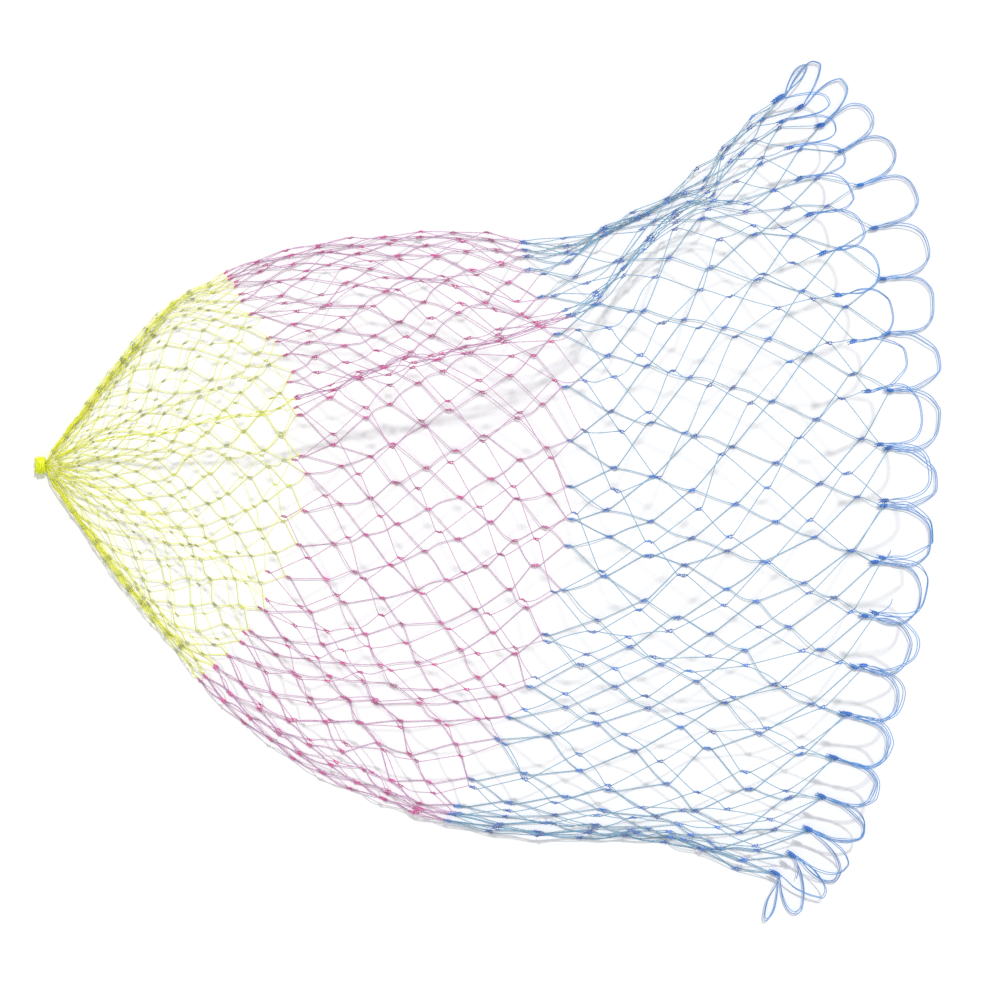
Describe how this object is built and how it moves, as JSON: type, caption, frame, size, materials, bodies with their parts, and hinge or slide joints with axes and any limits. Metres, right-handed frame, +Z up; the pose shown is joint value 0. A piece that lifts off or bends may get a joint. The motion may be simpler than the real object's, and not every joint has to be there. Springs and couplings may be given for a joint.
{
  "type": "knotted net bag",
  "caption": "Hand-knotted monofilament net bag in bands of yellow, pink and blue, gathered at its tip, with a mouth ringed by long doubled-twine loops for threading on a hoop.",
  "frame": {"origin": "on the surface that the bag lies on, under the middle of its box", "axes": "+X from the gathered tip to the mouth, +Y towards the left-hand fold seen from the tip, +Z up from the surface"},
  "size_m": [0.5016, 0.4804, 0.0563],
  "materials": {
    "yellow_twine": "gloss",
    "pink_twine": "gloss",
    "blue_twine": "gloss",
    "rim_twine": "gloss",
    "lashing_twine": "satin"
  },
  "bodies": {
    "belly": {"pink_netting_under": "pink_twine", "pink_netting_upper": "pink_twine"},
    "tip": {"yellow_netting_under": "yellow_twine", "yellow_netting_upper": "yellow_twine", "gathered_strands": "yellow_twine", "tip_lashing": "lashing_twine"},
    "mouth": {"blue_netting_under": "blue_twine", "blue_netting_upper": "blue_twine", "rim_knots_under": "rim_twine", "rim_knots_upper": "rim_twine"},
    "loop_01": {"rim_loop_01": "rim_twine"},
    "loop_02": {"rim_loop_02": "rim_twine"},
    "loop_03": {"rim_loop_03": "rim_twine"},
    "loop_04": {"rim_loop_04": "rim_twine"},
    "loop_05": {"rim_loop_05": "rim_twine"},
    "loop_06": {"rim_loop_06": "rim_twine"},
    "loop_07": {"rim_loop_07": "rim_twine"},
    "loop_08": {"rim_loop_08": "rim_twine"},
    "loop_09": {"rim_loop_09": "rim_twine"},
    "loop_10": {"rim_loop_10": "rim_twine"},
    "loop_11": {"rim_loop_11": "rim_twine"},
    "loop_12": {"rim_loop_12": "rim_twine"},
    "loop_13": {"rim_loop_13": "rim_twine"},
    "loop_14": {"rim_loop_14": "rim_twine"},
    "loop_15": {"rim_loop_15": "rim_twine"},
    "loop_16": {"rim_loop_16": "rim_twine"},
    "loop_17": {"rim_loop_17": "rim_twine"},
    "loop_18": {"rim_loop_18": "rim_twine"},
    "loop_19": {"rim_loop_19": "rim_twine"},
    "loop_20": {"rim_loop_20": "rim_twine"},
    "loop_21": {"rim_loop_21": "rim_twine"},
    "loop_22": {"rim_loop_22": "rim_twine"},
    "loop_23": {"rim_loop_23": "rim_twine"},
    "loop_24": {"rim_loop_24": "rim_twine"},
    "loop_25": {"rim_loop_25": "rim_twine"},
    "loop_26": {"rim_loop_26": "rim_twine"},
    "loop_27": {"rim_loop_27": "rim_twine"},
    "loop_28": {"rim_loop_28": "rim_twine"},
    "loop_29": {"rim_loop_29": "rim_twine"},
    "loop_30": {"rim_loop_30": "rim_twine"},
    "loop_31": {"rim_loop_31": "rim_twine"},
    "loop_32": {"rim_loop_32": "rim_twine"},
    "loop_33": {"rim_loop_33": "rim_twine"},
    "loop_34": {"rim_loop_34": "rim_twine"},
    "loop_35": {"rim_loop_35": "rim_twine"},
    "loop_36": {"rim_loop_36": "rim_twine"},
    "loop_37": {"rim_loop_37": "rim_twine"},
    "loop_38": {"rim_loop_38": "rim_twine"},
    "loop_39": {"rim_loop_39": "rim_twine"},
    "loop_40": {"rim_loop_40": "rim_twine"}
  },
  "joints": [
    {"name": "tip_lift", "type": "hinge", "parent": "belly", "child": "tip", "pos_m": [-0.10009, 0, 0.0398], "axis": [0, 1, 0], "range_deg": [0, 60]},
    {"name": "mouth_lift", "type": "hinge", "parent": "belly", "child": "mouth", "pos_m": [-0.02341, 0, 0.0573], "axis": [0, -1, 0], "range_deg": [0, 60]},
    {"name": "loop_01_swing", "type": "hinge", "parent": "mouth", "child": "loop_01", "pos_m": [0.16732, 0.21964, 0.0016], "axis": [0.8668, -0.4986, 0], "range_deg": [0, 50]},
    {"name": "loop_02_swing", "type": "hinge", "parent": "mouth", "child": "loop_02", "pos_m": [0.17801, 0.2135, 0.0016], "axis": [0.7311, -0.6823, 0], "range_deg": [0, 50]},
    {"name": "loop_03_swing", "type": "hinge", "parent": "mouth", "child": "loop_03", "pos_m": [0.18932, 0.20294, 0.0016], "axis": [0.5997, -0.8003, 0], "range_deg": [0, 50]},
    {"name": "loop_04_swing", "type": "hinge", "parent": "mouth", "child": "loop_04", "pos_m": [0.20064, 0.18784, 0.0016], "axis": [0.4737, -0.8807, 0], "range_deg": [0, 50]},
    {"name": "loop_05_swing", "type": "hinge", "parent": "mouth", "child": "loop_05", "pos_m": [0.21118, 0.16823, 0.0016], "axis": [0.299, -0.9543, 0], "range_deg": [0, 50]},
    {"name": "loop_06_swing", "type": "hinge", "parent": "mouth", "child": "loop_06", "pos_m": [0.21893, 0.1435, 0.0016], "axis": [0.1338, -0.991, 0], "range_deg": [0, 50]},
    {"name": "loop_07_swing", "type": "hinge", "parent": "mouth", "child": "loop_07", "pos_m": [0.22288, 0.11427, 0.0016], "axis": [0.0619, -0.9981, 0], "range_deg": [0, 50]},
    {"name": "loop_08_swing", "type": "hinge", "parent": "mouth", "child": "loop_08", "pos_m": [0.22482, 0.08299, 0.0016], "axis": [0.0202, -0.9998, 0], "range_deg": [0, 50]},
    {"name": "loop_09_swing", "type": "hinge", "parent": "mouth", "child": "loop_09", "pos_m": [0.22546, 0.05091, 0.0016], "axis": [-0.0441, -0.999, 0], "range_deg": [0, 50]},
    {"name": "loop_10_swing", "type": "hinge", "parent": "mouth", "child": "loop_10", "pos_m": [0.22403, 0.01837, 0.0016], "axis": [-0.1031, -0.9947, 0], "range_deg": [0, 50]},
    {"name": "loop_11_swing", "type": "hinge", "parent": "mouth", "child": "loop_11", "pos_m": [0.22069, -0.01387, 0.0016], "axis": [-0.1677, -0.9858, 0], "range_deg": [0, 50]},
    {"name": "loop_12_swing", "type": "hinge", "parent": "mouth", "child": "loop_12", "pos_m": [0.21535, -0.04521, 0.0016], "axis": [-0.2059, -0.9786, 0], "range_deg": [0, 50]},
    {"name": "loop_13_swing", "type": "hinge", "parent": "mouth", "child": "loop_13", "pos_m": [0.20909, -0.07501, 0.0016], "axis": [-0.2171, -0.9762, 0], "range_deg": [0, 50]},
    {"name": "loop_14_swing", "type": "hinge", "parent": "mouth", "child": "loop_14", "pos_m": [0.20287, -0.10297, 0.0016], "axis": [-0.2406, -0.9706, 0], "range_deg": [0, 50]},
    {"name": "loop_15_swing", "type": "hinge", "parent": "mouth", "child": "loop_15", "pos_m": [0.19645, -0.12888, 0.0016], "axis": [-0.2784, -0.9605, 0], "range_deg": [0, 50]},
    {"name": "loop_16_swing", "type": "hinge", "parent": "mouth", "child": "loop_16", "pos_m": [0.18963, -0.15241, 0.0016], "axis": [-0.2876, -0.9578, 0], "range_deg": [0, 50]},
    {"name": "loop_17_swing", "type": "hinge", "parent": "mouth", "child": "loop_17", "pos_m": [0.18333, -0.17338, 0.0016], "axis": [-0.3838, -0.9234, 0], "range_deg": [0, 50]},
    {"name": "loop_18_swing", "type": "hinge", "parent": "mouth", "child": "loop_18", "pos_m": [0.17596, -0.19112, 0.0016], "axis": [-0.5674, -0.8235, 0], "range_deg": [0, 50]},
    {"name": "loop_19_swing", "type": "hinge", "parent": "mouth", "child": "loop_19", "pos_m": [0.1665, -0.20484, 0.0016], "axis": [-0.6978, -0.7163, 0], "range_deg": [0, 50]},
    {"name": "loop_20_swing", "type": "hinge", "parent": "mouth", "child": "loop_20", "pos_m": [0.15694, -0.21466, 0.0016], "axis": [0.0707, -0.0283, 0.9971], "range_deg": [0, 20]},
    {"name": "loop_21_swing", "type": "hinge", "parent": "mouth", "child": "loop_21", "pos_m": [0.15727, -0.21479, 0.00624], "axis": [-0.5996, -0.7459, -0.2901], "range_deg": [0, 50]},
    {"name": "loop_22_swing", "type": "hinge", "parent": "mouth", "child": "loop_22", "pos_m": [0.16553, -0.20452, 0.01024], "axis": [-0.5041, -0.8291, -0.2416], "range_deg": [0, 50]},
    {"name": "loop_23_swing", "type": "hinge", "parent": "mouth", "child": "loop_23", "pos_m": [0.174, -0.19059, 0.0143], "axis": [-0.3629, -0.9067, -0.2148], "range_deg": [0, 50]},
    {"name": "loop_24_swing", "type": "hinge", "parent": "mouth", "child": "loop_24", "pos_m": [0.18108, -0.17288, 0.01849], "axis": [-0.2891, -0.9373, -0.1946], "range_deg": [0, 50]},
    {"name": "loop_25_swing", "type": "hinge", "parent": "mouth", "child": "loop_25", "pos_m": [0.18751, -0.15204, 0.02282], "axis": [-0.2904, -0.9407, -0.1752], "range_deg": [0, 50]},
    {"name": "loop_26_swing", "type": "hinge", "parent": "mouth", "child": "loop_26", "pos_m": [0.19472, -0.12868, 0.02717], "axis": [-0.2729, -0.9492, -0.1566], "range_deg": [0, 50]},
    {"name": "loop_27_swing", "type": "hinge", "parent": "mouth", "child": "loop_27", "pos_m": [0.20213, -0.10294, 0.03142], "axis": [-0.2061, -0.9684, -0.1402], "range_deg": [0, 50]},
    {"name": "loop_28_swing", "type": "hinge", "parent": "mouth", "child": "loop_28", "pos_m": [0.20806, -0.07505, 0.03546], "axis": [-0.1278, -0.9842, -0.1222], "range_deg": [0, 50]},
    {"name": "loop_29_swing", "type": "hinge", "parent": "mouth", "child": "loop_29", "pos_m": [0.21188, -0.04561, 0.03911], "axis": [-0.0433, -0.994, -0.1009], "range_deg": [0, 50]},
    {"name": "loop_30_swing", "type": "hinge", "parent": "mouth", "child": "loop_30", "pos_m": [0.2132, -0.01539, 0.04217], "axis": [0.0785, -0.9939, -0.0774], "range_deg": [0, 50]},
    {"name": "loop_31_swing", "type": "hinge", "parent": "mouth", "child": "loop_31", "pos_m": [0.21084, 0.01455, 0.04451], "axis": [0.2104, -0.9764, -0.048], "range_deg": [0, 50]},
    {"name": "loop_32_swing", "type": "hinge", "parent": "mouth", "child": "loop_32", "pos_m": [0.20469, 0.04306, 0.04591], "axis": [0.2599, -0.9656, -0.0042], "range_deg": [0, 50]},
    {"name": "loop_33_swing", "type": "hinge", "parent": "mouth", "child": "loop_33", "pos_m": [0.19741, 0.07009, 0.04602], "axis": [0.2765, -0.9596, 0.0515], "range_deg": [0, 50]},
    {"name": "loop_34_swing", "type": "hinge", "parent": "mouth", "child": "loop_34", "pos_m": [0.19005, 0.09564, 0.04465], "axis": [0.2927, -0.9491, 0.1161], "range_deg": [0, 50]},
    {"name": "loop_35_swing", "type": "hinge", "parent": "mouth", "child": "loop_35", "pos_m": [0.18272, 0.11943, 0.04174], "axis": [0.2528, -0.9491, 0.1881], "range_deg": [0, 50]},
    {"name": "loop_36_swing", "type": "hinge", "parent": "mouth", "child": "loop_36", "pos_m": [0.17669, 0.14204, 0.03726], "axis": [0.1954, -0.9461, 0.2584], "range_deg": [0, 50]},
    {"name": "loop_37_swing", "type": "hinge", "parent": "mouth", "child": "loop_37", "pos_m": [0.17224, 0.16361, 0.03137], "axis": [0.1797, -0.9266, 0.3303], "range_deg": [0, 50]},
    {"name": "loop_38_swing", "type": "hinge", "parent": "mouth", "child": "loop_38", "pos_m": [0.16844, 0.18322, 0.02438], "axis": [0.1631, -0.8992, 0.406], "range_deg": [0, 50]},
    {"name": "loop_39_swing", "type": "hinge", "parent": "mouth", "child": "loop_39", "pos_m": [0.16531, 0.20043, 0.01661], "axis": [0.1185, -0.868, 0.4822], "range_deg": [0, 50]},
    {"name": "loop_40_swing", "type": "hinge", "parent": "mouth", "child": "loop_40", "pos_m": [0.1633, 0.21521, 0.0084], "axis": [-0.4441, -0.4894, 0.7505], "range_deg": [0, 20]}
  ],
  "couplings": [
    {"joint": "loop_02_swing", "follows": "loop_01_swing", "ratio": 1},
    {"joint": "loop_03_swing", "follows": "loop_01_swing", "ratio": 1},
    {"joint": "loop_04_swing", "follows": "loop_01_swing", "ratio": 1},
    {"joint": "loop_05_swing", "follows": "loop_01_swing", "ratio": 1},
    {"joint": "loop_06_swing", "follows": "loop_01_swing", "ratio": 1},
    {"joint": "loop_07_swing", "follows": "loop_01_swing", "ratio": 1},
    {"joint": "loop_08_swing", "follows": "loop_01_swing", "ratio": 1},
    {"joint": "loop_09_swing", "follows": "loop_01_swing", "ratio": 1},
    {"joint": "loop_10_swing", "follows": "loop_01_swing", "ratio": 1},
    {"joint": "loop_11_swing", "follows": "loop_01_swing", "ratio": 1},
    {"joint": "loop_12_swing", "follows": "loop_01_swing", "ratio": 1},
    {"joint": "loop_13_swing", "follows": "loop_01_swing", "ratio": 1},
    {"joint": "loop_14_swing", "follows": "loop_01_swing", "ratio": 1},
    {"joint": "loop_15_swing", "follows": "loop_01_swing", "ratio": 1},
    {"joint": "loop_16_swing", "follows": "loop_01_swing", "ratio": 1},
    {"joint": "loop_17_swing", "follows": "loop_01_swing", "ratio": 1},
    {"joint": "loop_18_swing", "follows": "loop_01_swing", "ratio": 1},
    {"joint": "loop_19_swing", "follows": "loop_01_swing", "ratio": 1},
    {"joint": "loop_20_swing", "follows": "loop_01_swing", "ratio": 0.4},
    {"joint": "loop_21_swing", "follows": "loop_01_swing", "ratio": 1},
    {"joint": "loop_22_swing", "follows": "loop_01_swing", "ratio": 1},
    {"joint": "loop_23_swing", "follows": "loop_01_swing", "ratio": 1},
    {"joint": "loop_24_swing", "follows": "loop_01_swing", "ratio": 1},
    {"joint": "loop_25_swing", "follows": "loop_01_swing", "ratio": 1},
    {"joint": "loop_26_swing", "follows": "loop_01_swing", "ratio": 1},
    {"joint": "loop_27_swing", "follows": "loop_01_swing", "ratio": 1},
    {"joint": "loop_28_swing", "follows": "loop_01_swing", "ratio": 1},
    {"joint": "loop_29_swing", "follows": "loop_01_swing", "ratio": 1},
    {"joint": "loop_30_swing", "follows": "loop_01_swing", "ratio": 1},
    {"joint": "loop_31_swing", "follows": "loop_01_swing", "ratio": 1},
    {"joint": "loop_32_swing", "follows": "loop_01_swing", "ratio": 1},
    {"joint": "loop_33_swing", "follows": "loop_01_swing", "ratio": 1},
    {"joint": "loop_34_swing", "follows": "loop_01_swing", "ratio": 1},
    {"joint": "loop_35_swing", "follows": "loop_01_swing", "ratio": 1},
    {"joint": "loop_36_swing", "follows": "loop_01_swing", "ratio": 1},
    {"joint": "loop_37_swing", "follows": "loop_01_swing", "ratio": 1},
    {"joint": "loop_38_swing", "follows": "loop_01_swing", "ratio": 1},
    {"joint": "loop_39_swing", "follows": "loop_01_swing", "ratio": 1},
    {"joint": "loop_40_swing", "follows": "loop_01_swing", "ratio": 0.4}
  ]
}
